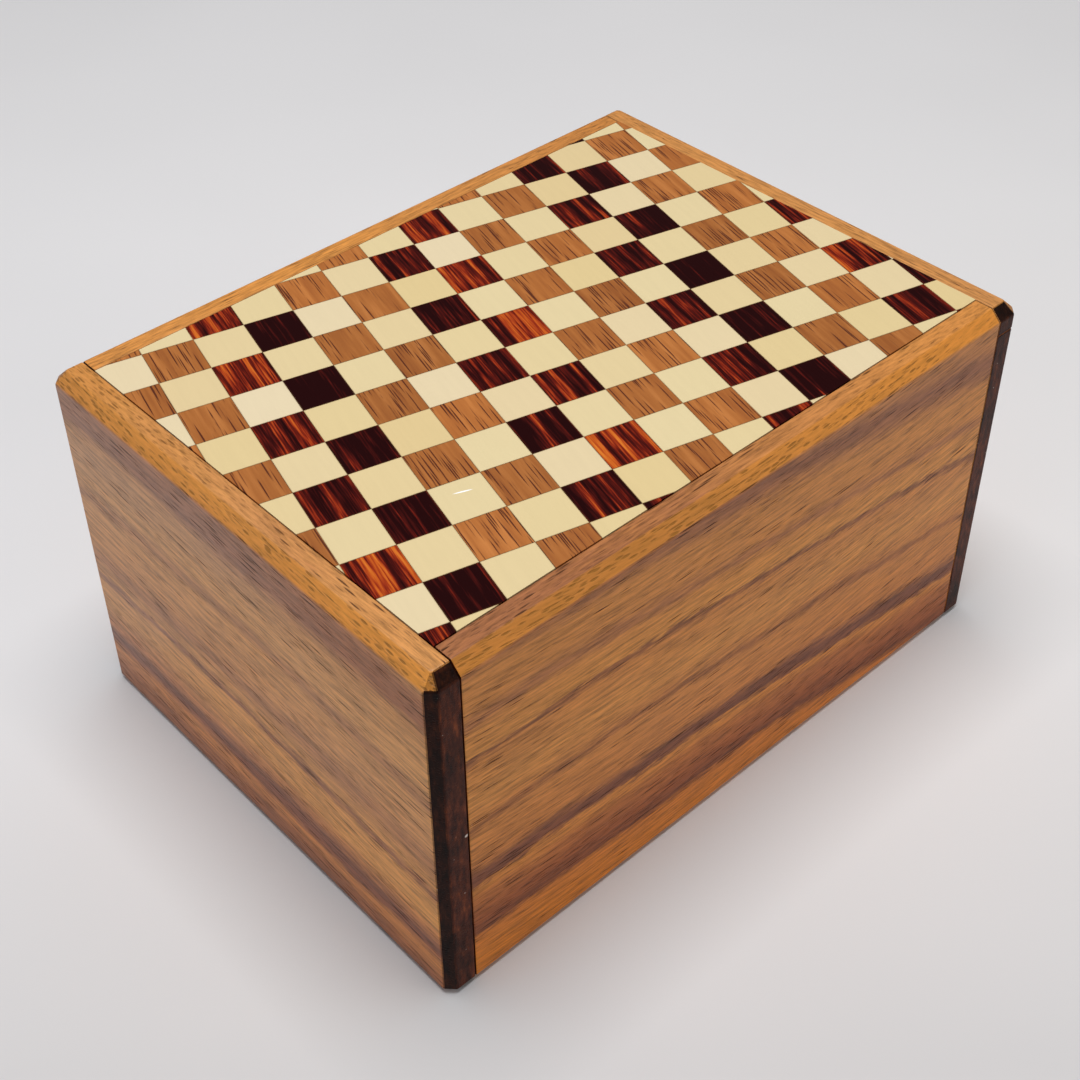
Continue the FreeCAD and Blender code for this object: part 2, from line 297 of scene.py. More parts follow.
def painted_highlight_mask(board, left, right):
    """How strong the painted highlight is: 1 on the top bevels, left to right along the flat top."""
    tree = board.tree
    upward = board.facing[2]
    slanted = add(
        tree,
        "ShaderNodeValToRGB",
        [upward],
        stops=[(0.5, 0.0), (0.62, 1.0), (0.82, 1.0), (0.92, 0.0)],
    )
    flat = add(tree, "ShaderNodeValToRGB", [upward], stops=[(0.82, 0.0), (0.92, 1.0)])
    # the painted highlight also runs along the flat top, growing from left to right
    highlight_along_top = add(tree, "ShaderNodeMath", [board.share, right - left, left], operation="MULTIPLY_ADD")
    highlight = add(tree, "ShaderNodeMath", [flat, highlight_along_top, slanted], operation="MULTIPLY_ADD")
    near_top = add(tree, "ShaderNodeMath", [board.drop, BEVEL_DEPTH], operation="LESS_THAN")
    return add(tree, "ShaderNodeMath", [highlight, near_top], operation="MULTIPLY")


def add_painted_highlight(board, colour, bevel):
    """The colour turned golden where the mask says so: a painted highlight."""
    tree = board.tree
    highlit_colour = add(
        tree,
        "ShaderNodeMix",
        {0: 1.0, 6: colour, 7: linear("#FFE08C")},
        data_type="RGBA",
        blend_type="MULTIPLY",
    )
    highlit_colour = add(
        tree, "ShaderNodeMix", {0: 0.5, 6: highlit_colour, 7: linear("#DC963C")}, data_type="RGBA"
    )
    amount = add(tree, "ShaderNodeMath", [bevel, 0.8], operation="MULTIPLY")
    return add(tree, "ShaderNodeMix", {0: amount, 6: colour, 7: highlit_colour}, data_type="RGBA")


def end_grain(board):
    """Where a cut crosses the fibre, and its colour, with painted shade on the corner bevels."""
    tree = board.tree
    toward_end = board.facing[1 if board.across else 0]
    toward_end = add(tree, "ShaderNodeMath", [toward_end], operation="ABSOLUTE")
    cut = add(tree, "ShaderNodeValToRGB", [toward_end], stops=[(0.45, 0.0), (0.6, 1.0)])
    colour = add(
        tree,
        "ShaderNodeValToRGB",
        [cloud(board, board.local, (0.9, 0.9, 0.3), 5.0, 0.75, 12.0)],
        stops=[(0.34, "#1E0A06"), (0.48, "#421C10"), (0.58, "#562815"), (0.7, "#7E3E1E")],
    )
    blocks = cloud(board, board.local, (0.05, 0.05, 0.11), 2.0, 0.5, 21.0)
    blocks = add(tree, "ShaderNodeValToRGB", [blocks], stops=[(0.42, 0.7), (0.58, 1.15)])
    # painted shade: end grain that faces away at a slant, as on the corner bevels, is darkened
    square_on = add(tree, "ShaderNodeValToRGB", [toward_end], stops=[(0.72, 0.3), (0.95, 1.0)])
    shade = add(tree, "ShaderNodeMath", [square_on, blocks], operation="MULTIPLY")
    colour = add(
        tree,
        "ShaderNodeMix",
        {0: 1.0, 6: colour, 7: shade},
        data_type="RGBA",
        blend_type="MULTIPLY",
    )
    return cut, colour


# %% [markdown]
# ### Wear
# A used box has small marks. Here a nick at the near corner shows raw wood, and a few specks of
# dust sit in the open end grain. One function draws an oval mark anywhere; the lid's scratch uses
# it too.

# %% A nick and some dust
NICK = Vector((low.x + panel - 0.0003, low.y + 0.0003, high.z - 0.0322))
NICK_SIZE = (0.0004, 0.002, 0.0003)


def mark(tree, vector, place, size, turn=0.0):
    """A small oval mark of the given half sizes at a place: 1 inside it, 0 outside."""
    moved = add(tree, "ShaderNodeVectorMath", [vector, place], operation="SUBTRACT")
    turned = add(
        tree, "ShaderNodeVectorRotate", {"Vector": moved, "Angle": turn}, rotation_type="Z_AXIS"
    )
    scaled = add(tree, "ShaderNodeVectorMath", [turned, size], operation="DIVIDE")
    reach = add(tree, "ShaderNodeVectorMath", [scaled], operation="LENGTH").outputs["Value"]
    return add(tree, "ShaderNodeValToRGB", [reach], stops=[(0.6, 1.0), (1.0, 0.0)])


def worn(board, cut):
    """1 in the nick and less in the specks of dust, which lie on end grain only."""
    tree = board.tree
    nick = mark(tree, board.place, NICK, NICK_SIZE)
    spot = add(
        tree,
        "ShaderNodeMapping",
        {0: board.local, "Scale": (0.45, 0.45, 0.45), "Location": (board.seed, 0, 0)},
    )
    dust = add(tree, "ShaderNodeTexVoronoi", {"Vector": spot, "Scale": 1.0}).outputs["Distance"]
    dust = add(tree, "ShaderNodeValToRGB", [dust], stops=[(0.03, 1.0), (0.06, 0.0)])
    dust = add(tree, "ShaderNodeMath", [dust, cut], operation="MULTIPLY")
    dust = add(tree, "ShaderNodeMath", [dust, 0.6], operation="MULTIPLY")
    return add(tree, "ShaderNodeMath", [nick, dust], operation="MAXIMUM")


# %% [markdown]
# ### The whole material
# The parts are stacked in this order: layers, a painted reflection, fibre, pores, a painted
# highlight on the bevels, end grain with painted shade on its corner bevels, and wear. The lacquer
# is thin and satin, so the reflection is weak, and weaker still on end grain. Pores are sunk a
# little and are rougher than the wood.

# %% The walnut material
END_SHEEN = 0.08


def walnut(name, rings, across=False, slope=0.09, arch=2.0, seed=0.0, reflection_colour="#8D6A5C",
           reflection_amount=0.25, fade=1.0, open_pored=0.0, sweep=0.0011, tilt=0.02, sheen=0.2,
           highlight_left_right=(0.1, 0.3)):
    """Lacquered walnut; across=True turns the grain from X to Y."""
    material = bpy.data.materials.new(name)
    material.use_nodes = True
    tree = material.node_tree
    tree.nodes.clear()
    board = set_out(tree, across, seed)
    colour = growth_layers(board, rings, slope, arch)
    # painted reflection: paler and cooler near the top of the board
    colour = painted_reflection(board, colour, reflection_colour, reflection_amount, fade)

    # streaks about a third of a millimetre wide and centimetres long
    lying = fibre_space(board, sweep, tilt)
    fibre = cloud(board, lying, (0.16, 2.2, 2.4), 5.0, 0.7, 2.0)
    streak = add(
        tree, "ShaderNodeValToRGB", [fibre], stops=[(0.35, 0.6), (0.5, 1.0), (0.65, 1.3)]
    )
    colour = add(
        tree,
        "ShaderNodeMix",
        {0: 1.0, 6: colour, 7: streak},
        data_type="RGBA",
        blend_type="MULTIPLY",
    )
    # painted highlight: a golden tint on the top bevels, by the way they face, for the light they
    # catch
    bevel = painted_highlight_mask(board, *highlight_left_right)
    pore = all_pores(board, lying, colour, bevel, open_pored)
    colour = add(
        tree, "ShaderNodeMix", {0: pore, 6: colour, 7: linear("#3A180C")}, data_type="RGBA"
    )
    # the painted highlight is laid onto the colour here
    colour = add_painted_highlight(board, colour, bevel)
    cut, end_colour = end_grain(board)
    colour = add(tree, "ShaderNodeMix", {0: cut, 6: colour, 7: end_colour}, data_type="RGBA")
    colour = add(
        tree,
        "ShaderNodeMix",
        {0: worn(board, cut), 6: colour, 7: linear("#D9CFC6")},
        data_type="RGBA",
    )

    relief = add(tree, "ShaderNodeMath", [fibre, 0.25], operation="MULTIPLY")
    relief = add(tree, "ShaderNodeMath", [relief, pore], operation="SUBTRACT")
    bump = add(tree, "ShaderNodeBump", {"Height": relief, "Distance": 0.00012, "Strength": 0.6})
    rough = add(tree, "ShaderNodeMath", [pore, 0.3, 0.4], operation="MULTIPLY_ADD")
    shine = add(tree, "ShaderNodeMath", [cut, END_SHEEN - sheen, sheen], operation="MULTIPLY_ADD")
    shader = add(
        tree,
        "ShaderNodeBsdfPrincipled",
        {
            "Base Color": colour,
            "Roughness": rough,
            "IOR": 1.5,
            "Normal": bump,
            "Specular IOR Level": shine,
        },
    )
    add(tree, "ShaderNodeOutputMaterial", [shader])
    print("material", name, len(tree.nodes), "nodes")
    return material


# %% [markdown]
# ## The growth layers of each board
# Depths are in millimetres below the top edge at the board's left end. Narrow dark entries are the
# late wood of a season; the wide red-brown stretch near the foot is a slow-grown spell.

# %% Ring lists and the walnut boards' materials
SIDE_RINGS = [
    (-12, "#D28C41"), (-6, "#C07D3F"), (-3, "#965C39"), (-1, "#A46739"), (2, "#D1893C"),
    (7, "#CE863B"), (9, "#AB6C3B"), (10.5, "#D1893C"), (15, "#D48D3B"), (16, "#844B27"),
    (17.2, "#CC8339"), (24, "#D78F3E"), (28, "#CE8438"), (29.5, "#9E5E2A"), (31, "#CE8439"),
    (38, "#C77C35"), (40.3, "#7C452B"), (42.3, "#804625"), (43.0, "#D58732"), (45.2, "#B56929"),
    (50, "#9D521F"), (53.0, "#7B3E19"), (54.4, "#CB7621"), (60, "#D17A17"), (66, "#BA6B1D"),
]
END_RINGS = [
    (-12, "#C98A49"), (0, "#CB8C4B"), (3, "#A76739"), (8, "#9E5F36"), (11, "#CD8D4B"),
    (20, "#D99851"), (23, "#B37643"), (25, "#D5934E"), (33, "#CD8B4B"), (36, "#B37441"),
    (40, "#D59146"), (41.5, "#935431"), (42.8, "#D99346"), (48, "#D99343"), (52, "#BF763B"),
    (54.5, "#7C442A"), (56.5, "#8D4C2A"), (58.5, "#CD8037"), (62, "#A35D2A"), (66, "#8D502C"),
]
REAR_RINGS = [
    (-12, "#CE883E"), (4, "#D28D42"), (11, "#AD6E38"), (13, "#D38E40"), (21, "#CB8239"),
    (23, "#8C522C"), (25, "#CC843A"), (33, "#D38B3B"), (36, "#9C5F30"), (38.5, "#CD8238"),
    (47, "#D28637"), (50, "#90562F"), (52, "#C57932"), (60, "#D5832D"), (70, "#C0752C"),
]
front_walnut = walnut("front_walnut", SIDE_RINGS, seed=3.1)
rear_walnut = walnut("rear_walnut", REAR_RINGS, seed=11.7, slope=-0.06, arch=-1.5)
# the left end panel: a strong painted reflection towards one end, and a painted highlight along its
# flat top
left_walnut = walnut(
    "left_end_walnut", END_RINGS, across=True, seed=23.4, slope=-0.02, arch=1.0,
    reflection_colour="#A88C7C", reflection_amount=0.6, fade=0.15, open_pored=0.05, sweep=0.0003, tilt=0.07, sheen=0.32,
    highlight_left_right=(0.05, 0.9),
)
right_walnut = walnut("right_end_walnut", END_RINGS, across=True, seed=41.9, slope=0.03, arch=1.0)

# %% [markdown]
# ## Pale wood for the inner box
# The inner box, which only shows once the lid is open, is planed softwood: straw coloured, with
# soft, regular layers and no finish, so it is matt. The keys and runners are a plain hardwood, a
# little darker, waxed so that they slide.

# %% The inner woods
WAVE_PER_MM = 0.314  # the scale at which a wave texture repeats once in a millimetre


def plain_wood(name, early, late, rough, spacing=2.2, across=False):
    """Planed wood with soft layers a few millimetres apart."""
    material = bpy.data.materials.new(name)
    material.use_nodes = True
    tree = material.node_tree
    tree.nodes.clear()
    _, local = in_millimetres(tree, across)
    stretched = add(tree, "ShaderNodeMapping", {0: local, "Scale": (0.03, 0.7, 0.7)})
    wander = add(tree, "ShaderNodeTexNoise", {"Vector": stretched, "Scale": 1.0, "Detail": 3.0})
    leaning = add(
        tree, "ShaderNodeMapping", {0: local, "Scale": (0.02, 1.0, 1.0), "Rotation": (0.6, 0, 0)}
    )
    layers = add(
        tree,
        "ShaderNodeTexWave",
        {
            "Vector": leaning,
            "Scale": WAVE_PER_MM / spacing,
            "Distortion": 5.0,
            "Detail": 3.0,
            "Detail Scale": 0.8,
        },
        bands_direction="Z",
        wave_profile="SAW",
    )
    colour = add(
        tree,
        "ShaderNodeValToRGB",
        [layers.outputs["Fac"]],
        stops=[(0.0, early), (0.45, early), (0.9, late), (1.0, early)],
    )
    drawn_out = add(tree, "ShaderNodeMapping", {0: local, "Scale": (0.1, 3.5, 3.5)})
    fibre = add(tree, "ShaderNodeTexNoise", {"Vector": drawn_out, "Scale": 1.0, "Detail": 4.0})
    streak = add(tree, "ShaderNodeValToRGB", [fibre], stops=[(0.3, 0.85), (0.7, 1.08)])
    colour = add(
        tree, "ShaderNodeMix", {0: 1.0, 6: colour, 7: streak},
        data_type="RGBA", blend_type="MULTIPLY",
    )
    patch = add(tree, "ShaderNodeValToRGB", [wander], stops=[(0.3, 0.9), (0.7, 1.05)])
    colour = add(
        tree, "ShaderNodeMix", {0: 1.0, 6: colour, 7: patch},
        data_type="RGBA", blend_type="MULTIPLY",
    )
    bump = add(tree, "ShaderNodeBump", {"Height": fibre, "Distance": 0.00005, "Strength": 0.5})
    shader = add(
        tree,
        "ShaderNodeBsdfPrincipled",
        {"Base Color": colour, "Roughness": rough, "IOR": 1.5, "Normal": bump},
    )
    add(tree, "ShaderNodeOutputMaterial", [shader])
    return material


inner_x = plain_wood("planed_pale_wood", "#D9B988", "#CBA673", 0.62)
inner_y = plain_wood("planed_pale_wood_across", "#D5B483", "#C7A26F", 0.62, across=True)
waxed = plain_wood("waxed_beech", "#B98A5E", "#9C6D45", 0.45, spacing=1.2)
liner = plain_wood("sanded_liner", "#C9A878", "#B08A58", 0.7, spacing=3.0)
print("inner woods:", *(wood.name for wood in (inner_x, inner_y, waxed, liner)))

# %% [markdown]
# ## Eased edges
# A saw leaves an edge sharp, but a sanded box has none: every arris is rounded by a fraction of a
# millimetre, and that sliver catches the light. Each board is copied from the model, its flat
# triangles are merged back to whole faces, and every sharp edge gets a narrow two-step bevel. The
# bevel only takes wood away, so sizes and sliding gaps stay as designed.

# %% Copy the boards with eased edges
def eased_copy(node, name, material, width):
    """A copy of a CAD node with its sharp edges softened by width metres."""
    form = bmesh.new()
    form.from_mesh(frame["nodes"][node].data)
    bmesh.ops.remove_doubles(form, verts=form.verts, dist=1e-6)
    bmesh.ops.dissolve_limit(
        form, angle_limit=math.radians(0.5), verts=form.verts, edges=form.edges
    )
    sharp = [e for e in form.edges if e.is_manifold and e.calc_face_angle() > math.radians(20)]
    bmesh.ops.bevel(
        form, geom=sharp, offset=width, segments=2, profile=0.5, affect="EDGES",
        clamp_overlap=True,
    )
    mesh = bpy.data.meshes.new(name)
    form.to_mesh(mesh)
    form.free()
    for polygon in mesh.polygons:
        polygon.use_smooth = False
    mesh.materials.append(material)
    piece = bpy.data.objects.new(name, mesh)
    bpy.context.scene.collection.objects.link(piece)
    body = next(b for b, names in frame["record"]["behaviour"]["bodies"].items() if node in names)
    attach(piece, body)
    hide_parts(node)
    return piece


BOARDS = {
    "front_side_panel": (front_walnut, 0.22),
    "rear_side_panel": (rear_walnut, 0.22),
    "left_end_panel": (left_walnut, 0.22),
    "right_end_panel": (right_walnut, 0.18),
    "lid_end_cap": (right_walnut, 0.18),
    "left_inner_wall": (inner_y, 0.12),
    "right_inner_wall": (inner_y, 0.12),
    "front_inner_wall": (inner_x, 0.12),
    "rear_inner_wall": (inner_x, 0.12),
    "bottom_board": (inner_x, 0.12),
    "floor_liner": (liner, 0.06),
    "lid_board": (inner_x, 0.1),
    "front_lid_runner": (waxed, 0.12),
    "rear_lid_runner": (waxed, 0.12),
    "left_lock_tongue": (waxed, 0.15),
    "right_lock_tongue": (waxed, 0.15),
    "left_front_key": (waxed, 0.12),
    "left_rear_key": (waxed, 0.12),
    "right_front_key": (waxed, 0.12),
    "right_rear_key": (waxed, 0.12),
}
for node, (material, width_mm) in BOARDS.items():
    board = eased_copy(node, node + "_wood", material, width_mm * MM)
    print(board.name, len(board.data.polygons), "faces")

# %% [markdown]
# ## The checkered marquetry
# The lid's pattern is end-to-end squares on a grid turned about fifteen degrees and sawn off
# straight at the lid's edges. It follows a rule, so Geometry Nodes lay it: one tile per grid
# point. Every other square is pale; the dark ones take their wood from their column, two walnut,
# two rosewood, and so on. A boolean trims the whole sheet, as the maker's saw did. Each tile is
# tipped by a hair, so neighbours catch the light differently. The woods come first. They read the
# same grid, so each tile has its own tone and its own stretch of grain.

# %% Woods of the tiles
TILE = 8.25 * MM
TURN = math.radians(14.9)
START = Vector((3.6, 7.4, 0)) * MM
GLUE = 0.05 * MM
SUNK = 0.02 * MM  # the tiles lie this far below the boards round them


def tile_wood(name, build, rough, shine):
    """A tile's lacquered wood; build(tree, grid, cell) returns its colour and its relief."""
    material = bpy.data.materials.new(name)
    material.use_nodes = True
    tree = material.node_tree
    tree.nodes.clear()
    place = add(tree, "ShaderNodeTexCoord")
    centred = add(
        tree,
        "ShaderNodeVectorMath",
        {0: place.outputs["Object"], 1: START},
        operation="SUBTRACT",
    )
    grid = add(
        tree,
        "ShaderNodeMapping",
        {0: centred, "Rotation": (0, 0, TURN), "Scale": (1 / TILE, 1 / TILE, 1 / TILE)},
    )
    cell = add(tree, "ShaderNodeVectorMath", [grid], operation="FLOOR")
    flat_cell = add(
        tree,
        "ShaderNodeVectorMath",
        {0: cell, 1: (1, 1, 0)},
        operation="MULTIPLY",
    )
    colour, relief = build(tree, grid, flat_cell)
    # the glue line: a thin dark edge round each tile
    inside = add(tree, "ShaderNodeVectorMath", [grid], operation="FRACTION")
    parts = add(tree, "ShaderNodeSeparateXYZ", [inside])
    edges = []
    for out in parts.outputs[:2]:
        from_middle = add(tree, "ShaderNodeMath", [out, 0.5], operation="SUBTRACT")
        edges.append(add(tree, "ShaderNodeMath", [from_middle], operation="ABSOLUTE"))
    rim = add(tree, "ShaderNodeMath", edges, operation="MAXIMUM")
    seam = add(tree, "ShaderNodeValToRGB", [rim], stops=[(0.478, 0.0), (0.5, 0.45)])
    colour = add(
        tree, "ShaderNodeMix", {0: seam, 6: colour, 7: linear("#6B4422")}, data_type="RGBA"
    )
    bump = add(tree, "ShaderNodeBump", {"Height": relief, "Distance": 0.00006, "Strength": 0.5})
    shader = add(
        tree,
        "ShaderNodeBsdfPrincipled",
        {
            "Base Color": colour,
            "Roughness": rough,
            "IOR": 1.5,
            "Normal": bump,
            "Specular IOR Level": shine,
        },
    )
    add(tree, "ShaderNodeOutputMaterial", [shader])
    return material


def grain(tree, grid, cell, scale, detail=4.0, rough=0.6, jump=17.0):
    """Noise stretched along the columns, shifted from tile to tile so that none match."""
    shifted = add(
        tree,
        "ShaderNodeVectorMath",
        {0: cell, 1: (jump, jump * 0.37, 0), 2: grid},
        operation="MULTIPLY_ADD",
    )
    spot = add(tree, "ShaderNodeMapping", {0: shifted, "Scale": scale})
    return add(
        tree,
        "ShaderNodeTexNoise",
        {"Vector": spot, "Scale": 1.0, "Detail": detail, "Roughness": rough},
    )


def chance(tree, cell, offset=0.0):
    """One random number for each tile."""
    moved = add(
        tree, "ShaderNodeVectorMath", {0: cell, 1: (offset, offset, 0)}, operation="ADD"
    )
    return add(tree, "ShaderNodeTexWhiteNoise", {"Vector": moved}).outputs["Value"]


# where the one scratch is on the grid, in tiles, and its half sizes, at any depth
SCRATCH = (-3.48, -4.32, 0)
SCRATCH_SIZE = (0.2, 0.02, 1000.0)


def cream(tree, grid, cell):
    """Close-grained pale wood, ivory to straw, with hardly any figure and one scratch."""
    base = add(
        tree,
        "ShaderNodeValToRGB",
        [chance(tree, cell)],
        stops=[
            (0.0, "#DDC796"), (0.3, "#DFCDA0"), (0.6, "#DCC590"), (0.85, "#E2D1AE"), (1, "#DAC087"),
        ],
    )
    faint = grain(tree, grid, cell, (9, 0.8, 1))
    veil = add(tree, "ShaderNodeValToRGB", [faint], stops=[(0.35, 0.985), (0.65, 1.01)])
    colour = add(
        tree, "ShaderNodeMix", {0: 1.0, 6: base, 7: veil}, data_type="RGBA", blend_type="MULTIPLY"
    )
    scratch = mark(tree, grid, SCRATCH, SCRATCH_SIZE, 0.12)
    colour = add(
        tree, "ShaderNodeMix", {0: scratch, 6: colour, 7: linear("#FFFFFF")}, data_type="RGBA"
    )
    return colour, faint


def walnut_tile(tree, grid, cell):
    """Mid-brown walnut with dark pores drawn out along the column."""
    base = add(
        tree,
        "ShaderNodeValToRGB",
        [grain(tree, grid, cell, (5, 0.35, 1))],
        stops=[(0.34, "#9C5A28"), (0.5, "#AB672F"), (0.66, "#BC763B")],
    )
    tone = add(tree, "ShaderNodeValToRGB", [chance(tree, cell)], stops=[(0.0, 0.85), (1.0, 1.1)])
    base = add(
        tree, "ShaderNodeMix", {0: 1.0, 6: base, 7: tone}, data_type="RGBA", blend_type="MULTIPLY"
    )
    shifted = add(
        tree,
        "ShaderNodeVectorMath",
        {0: cell, 1: (13.0, 5.0, 0), 2: grid},
        operation="MULTIPLY_ADD",
    )
    spot = add(tree, "ShaderNodeMapping", {0: shifted, "Scale": (23, 0.8, 1)})
    cells = add(tree, "ShaderNodeTexVoronoi", {"Vector": spot, "Scale": 1.0})
    near = cells.outputs["Distance"]
    dash = add(tree, "ShaderNodeValToRGB", [near], stops=[(0.24, 1.0), (0.4, 0.0)])
    crowd = grain(tree, grid, cell, (3.2, 0.5, 1), jump=5.0)
    crowd = add(tree, "ShaderNodeValToRGB", [crowd], stops=[(0.36, 0.0), (0.44, 1.0)])
    pore = add(tree, "ShaderNodeMath", [dash, crowd], operation="MULTIPLY")
    colour = add(
        tree, "ShaderNodeMix", {0: pore, 6: base, 7: linear("#562510")}, data_type="RGBA"
    )
    relief = add(tree, "ShaderNodeMath", [1.0, pore], operation="SUBTRACT")
    return colour, relief


# how bright the rosewood strip of each column is, from the column where it starts
FIRST_COLUMN, COLUMNS = -8, 17
STRIP_TONES = [
    (-8, 0.4), (-6, 0.52), (-5, 0.24), (-2, 0.38), (-1, 0.52),
    (2, 0.34), (3, 0.18), (6, 0.44), (7, 0.28),
]


def rosewood_tile(tree, grid, cell):
    """Striped rosewood; each column comes from one strip, from near black to bright orange."""
    column = add(tree, "ShaderNodeSeparateXYZ", [cell]).outputs[0]
    place = add(tree, "ShaderNodeMath", [column, 0.5 - FIRST_COLUMN], operation="ADD")
    place = add(tree, "ShaderNodeMath", [place, COLUMNS], operation="DIVIDE")
    stops = [((number - FIRST_COLUMN) / COLUMNS, tone) for number, tone in STRIP_TONES]
    strip = add(tree, "ShaderNodeValToRGB", [place], stops=stops)
    strip.color_ramp.interpolation = "CONSTANT"
    one_tile = chance(tree, cell, 3.0)
    lift = add(tree, "ShaderNodeMath", [strip, 0.4, -0.2], operation="MULTIPLY_ADD")
    lift = add(tree, "ShaderNodeMath", [one_tile, 0.09, lift], operation="MULTIPLY_ADD")
    stripes = grain(tree, grid, cell, (5.5, 0.2, 1), 4.0, 0.72)
    threads = grain(tree, grid, cell, (24, 1.3, 1), 3.0, 0.6, 29.0)
    mixed = add(tree, "ShaderNodeMath", [threads, 0.3, stripes], operation="MULTIPLY_ADD")
    tone = add(tree, "ShaderNodeMath", [mixed, lift], operation="ADD")
    colour = add(
        tree,
        "ShaderNodeValToRGB",
        [tone],
        stops=[
            (0.59, "#220607"), (0.67, "#44110E"), (0.72, "#681B10"), (0.77, "#983318"),
            (0.84, "#BE581F"), (0.94, "#D87C2E"),
        ],
    )
    return colour, threads


cream_wood = tile_wood("lacquered_cream_wood", cream, 0.4, 0.3)
brown_wood = tile_wood("lacquered_walnut_tile", walnut_tile, 0.42, 0.25)
striped_wood = tile_wood("lacquered_rosewood", rosewood_tile, 0.35, 0.04)
print("tile woods:", *(wood.name for wood in (cream_wood, brown_wood, striped_wood)))

# %% [markdown]
# ### Laying and trimming
# The tree has its sizes as named inputs. It lays and turns the tiles, makes them real, trims them
# with a box and gives each face its wood from the column and row that it lies in.

# %% Lay and trim the tiles with Geometry Nodes
def marquetry_tree():
    """Tiles on a turned grid, trimmed to a rectangle, one material for each wood."""
    tree = bpy.data.node_groups.new("checkered_marquetry", "GeometryNodeTree")
    face = tree.interface
    face.new_socket("Geometry", in_out="INPUT", socket_type="NodeSocketGeometry")
    for name, kind in (
        ("Tile side", "Float"), ("Glue line", "Float"), ("Thickness", "Float"),
        ("Turn", "Float"), ("Start", "Vector"), ("Field size", "Vector"),
        ("Field middle", "Vector"), ("Tip", "Float"), ("Seed", "Int"),
        ("Pale wood", "Material"), ("Brown wood", "Material"), ("Striped wood", "Material"),
    ):
        face.new_socket(name, in_out="INPUT", socket_type="NodeSocket" + kind)
    face.new_socket("Geometry", in_out="OUTPUT", socket_type="NodeSocketGeometry")
    given = add(tree, "NodeGroupInput").outputs

    across = 31  # grid points each way, enough to cover the lid at any turn
    span = add(tree, "ShaderNodeMath", [given["Tile side"], across - 1.0], operation="MULTIPLY")
    points = add(
        tree,
        "GeometryNodeMeshGrid",
        {"Size X": span, "Size Y": span, "Vertices X": across, "Vertices Y": across},
    )
    side = add(
        tree, "ShaderNodeMath", [given["Tile side"], given["Glue line"]], operation="SUBTRACT"
    )
    size = add(tree, "ShaderNodeCombineXYZ", {0: side, 1: side, 2: given["Thickness"]})
    tile = add(tree, "GeometryNodeMeshCube", {"Size": size})
    tip_high = add(tree, "ShaderNodeCombineXYZ", {0: given["Tip"], 1: given["Tip"], 2: 0.0})
    tip_low = add(tree, "ShaderNodeVectorMath", {0: tip_high, "Scale": -1.0}, operation="SCALE")
    tip = add(
        tree,
        "FunctionNodeRandomValue",
        {"Min": tip_low, "Max": tip_high, "Seed": given["Seed"]},
        data_type="FLOAT_VECTOR",
    )
    laid = add(
        tree,
        "GeometryNodeInstanceOnPoints",
        {
            "Points": points.outputs["Mesh"],
            "Instance": tile.outputs["Mesh"],
            "Rotation": tip.outputs[0],
        },
    )
    half = add(tree, "ShaderNodeMath", [given["Tile side"], 0.5], operation="MULTIPLY")
    corner = add(tree, "ShaderNodeCombineXYZ", {0: half, 1: half, 2: 0.0})
    sheet = add(tree, "GeometryNodeTransform", {"Geometry": laid, "Translation": corner})
    back = add(tree, "ShaderNodeMath", [given["Turn"], -1.0], operation="MULTIPLY")
    turn = add(tree, "ShaderNodeCombineXYZ", {2: back})
    sheet = add(
        tree,
        "GeometryNodeTransform",
        {"Geometry": sheet, "Rotation": turn, "Translation": given["Start"]},
    )
    sheet = add(tree, "GeometryNodeRealizeInstances", {"Geometry": sheet})
    field = add(tree, "GeometryNodeMeshCube", {"Size": given["Field size"]})
    field = add(
        tree,
        "GeometryNodeTransform",
        {"Geometry": field.outputs["Mesh"], "Translation": given["Field middle"]},
    )
    trimmed = add(tree, "GeometryNodeMeshBoolean", operation="INTERSECT", solver="EXACT")
    for source in (sheet, field):
        tree.links.new(source.outputs[0], trimmed.inputs["Mesh 2"])
    # each face finds its own column and row from where it lies on the turned grid
    spot = add(
        tree,
        "ShaderNodeVectorMath",
        {0: add(tree, "GeometryNodeInputPosition"), 1: given["Start"]},
        operation="SUBTRACT",
    )
    spot = add(
        tree,
        "ShaderNodeVectorRotate",
        {"Vector": spot, "Angle": given["Turn"]},
        rotation_type="Z_AXIS",
    )
    spot = add(tree, "ShaderNodeSeparateXYZ", [spot])
    numbers = []
    for out in spot.outputs[:2]:
        tiles = add(tree, "ShaderNodeMath", [out, given["Tile side"]], operation="DIVIDE")
        numbers.append(add(tree, "ShaderNodeMath", [tiles], operation="FLOOR"))
    column, row = numbers
    parity = add(tree, "ShaderNodeMath", [column, row], operation="ADD")
    parity = add(tree, "ShaderNodeMath", [parity, 2.0], operation="FLOORED_MODULO")
    pale = add(
        tree, "FunctionNodeCompare", {"A": parity, "B": 0.5},
        data_type="FLOAT", operation="GREATER_THAN",
    )
    of_four = add(tree, "ShaderNodeMath", [column, 4.0], operation="FLOORED_MODULO")
    brown = add(
        tree, "FunctionNodeCompare", {"A": of_four, "B": 1.5},
        data_type="FLOAT", operation="LESS_THAN",
    )
    mesh = trimmed.outputs["Mesh"]
    for wood, chosen in (("Striped wood", None), ("Brown wood", brown), ("Pale wood", pale)):
        inputs = {"Geometry": mesh, "Material": given[wood]}
        if chosen:
            inputs["Selection"] = chosen
        mesh = add(tree, "GeometryNodeSetMaterial", inputs)
    add(tree, "NodeGroupOutput", [mesh])
    return tree


def set_inputs(modifier, values):
    """Gives a Geometry Nodes modifier its inputs by their names' identifiers."""
    for item in modifier.node_group.interface.items_tree:
        if item.in_out == "INPUT" and item.name in values:
            modifier[item.identifier] = values[item.name]


